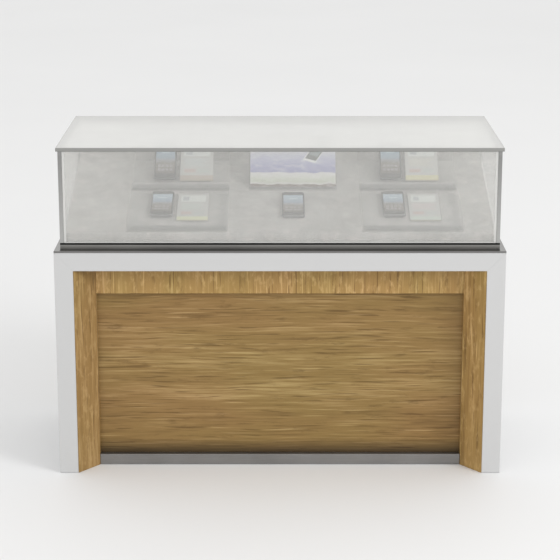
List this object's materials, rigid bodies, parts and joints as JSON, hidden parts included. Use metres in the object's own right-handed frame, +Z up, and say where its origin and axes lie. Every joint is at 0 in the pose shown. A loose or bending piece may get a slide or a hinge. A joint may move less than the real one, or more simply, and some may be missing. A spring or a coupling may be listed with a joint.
{
  "type": "checkout counter",
  "caption": "Retail counter with a glass showcase over a white frame, a recessed oak front, and rear cupboards with a cash drawer.",
  "frame": {"origin": "on the floor, under the middle of the counter", "axes": "+Z up, +X along the counter's length, +Y towards the staff side"},
  "size_m": [1.2, 0.5, 0.9],
  "materials": {
    "white_lacquer": "satin white lacquer on board",
    "oak": "matt lacquered oak veneer on board",
    "white_melamine": "white melamine on board",
    "brushed_steel": "brushed stainless steel",
    "aluminium": "satin anodised",
    "glass": "polished clear glass",
    "acrylic": "clear polished acrylic",
    "gasket": "black rubber",
    "laminate": "mottled pale grey laminate on board",
    "dark_plastic": "black moulded plastic",
    "handset_shell": "glossy dark plastic",
    "chrome": "chrome plated"
  },
  "bodies": {
    "counter": {"left_side_panel": "white_lacquer", "right_side_panel": "white_lacquer", "top_slab": "white_lacquer", "left_reveal": "oak", "right_reveal": "oak", "fascia": "oak", "front_panel": "oak", "cabinet_floor": "white_melamine", "rear_plinth": "white_melamine", "centre_divider": "white_melamine", "drawer_bay_shelf": "white_melamine", "open_bay_shelf": "white_melamine", "deck_plate": "brushed_steel", "front_plinth": "brushed_steel", "left_hinge_fixed_leaf": "brushed_steel", "right_hinge_fixed_leaf": "brushed_steel", "left_hinge_pin": "brushed_steel", "right_hinge_pin": "brushed_steel", "left_drawer_track": "brushed_steel", "right_drawer_track": "brushed_steel", "base_channel": "brushed_steel", "lower_door_track": "aluminium", "upper_door_track": "aluminium", "front_glass": "glass", "left_side_glass": "glass", "right_side_glass": "glass", "top_glass": "glass", "lower_left_tray": "acrylic", "lower_right_tray": "acrylic", "upper_left_easel": "acrylic", "upper_right_easel": "acrylic", "picture_panel": "acrylic", "base_gasket": "gasket", "board_riser": "laminate", "display_board": "laminate", "left_door_catch": "dark_plastic", "right_door_catch": "dark_plastic", "lower_left_handset": "handset_shell", "lower_right_handset": "handset_shell", "upper_left_handset": "handset_shell", "upper_right_handset": "handset_shell", "centre_handset": "handset_shell"},
    "left_door": {"left_door": "oak", "left_hinge_door_leaf": "brushed_steel", "left_door_handle": "brushed_steel"},
    "right_door": {"right_door": "oak", "right_hinge_door_leaf": "brushed_steel", "right_door_handle": "brushed_steel"},
    "cash_drawer": {"drawer_front": "oak", "drawer_box": "white_melamine", "drawer_handle": "brushed_steel", "till_tray": "dark_plastic", "till_divider": "dark_plastic", "left_drawer_runner": "brushed_steel", "right_drawer_runner": "brushed_steel", "lock_barrel": "chrome"},
    "drawer_lock": {"lock_plug": "chrome"},
    "left_glass_door": {"left_glass_door": "glass"},
    "right_glass_door": {"right_glass_door": "glass"}
  },
  "joints": [
    {"name": "left_door_hinge", "type": "hinge", "parent": "counter", "child": "left_door", "pos_m": [-0.5475, 0.2175, 0.054], "axis": [0, 0, 1], "range_deg": [0, 95]},
    {"name": "right_door_hinge", "type": "hinge", "parent": "counter", "child": "right_door", "pos_m": [0.5475, 0.2175, 0.054], "axis": [0, 0, -1], "range_deg": [0, 95]},
    {"name": "drawer_slide", "type": "slide", "parent": "counter", "child": "cash_drawer", "axis": [0, 1, 0], "range_m": [0, 0.28]},
    {"name": "lock_turn", "type": "hinge", "parent": "cash_drawer", "child": "drawer_lock", "pos_m": [-0.2795, 0.186, 0.553], "axis": [0, -1, 0], "range_deg": [0, 90]},
    {"name": "left_glass_slide", "type": "slide", "parent": "counter", "child": "left_glass_door", "axis": [1, 0, 0], "range_m": [0, 0.545]},
    {"name": "right_glass_slide", "type": "slide", "parent": "counter", "child": "right_glass_door", "axis": [-1, 0, 0], "range_m": [0, 0.545]}
  ]
}
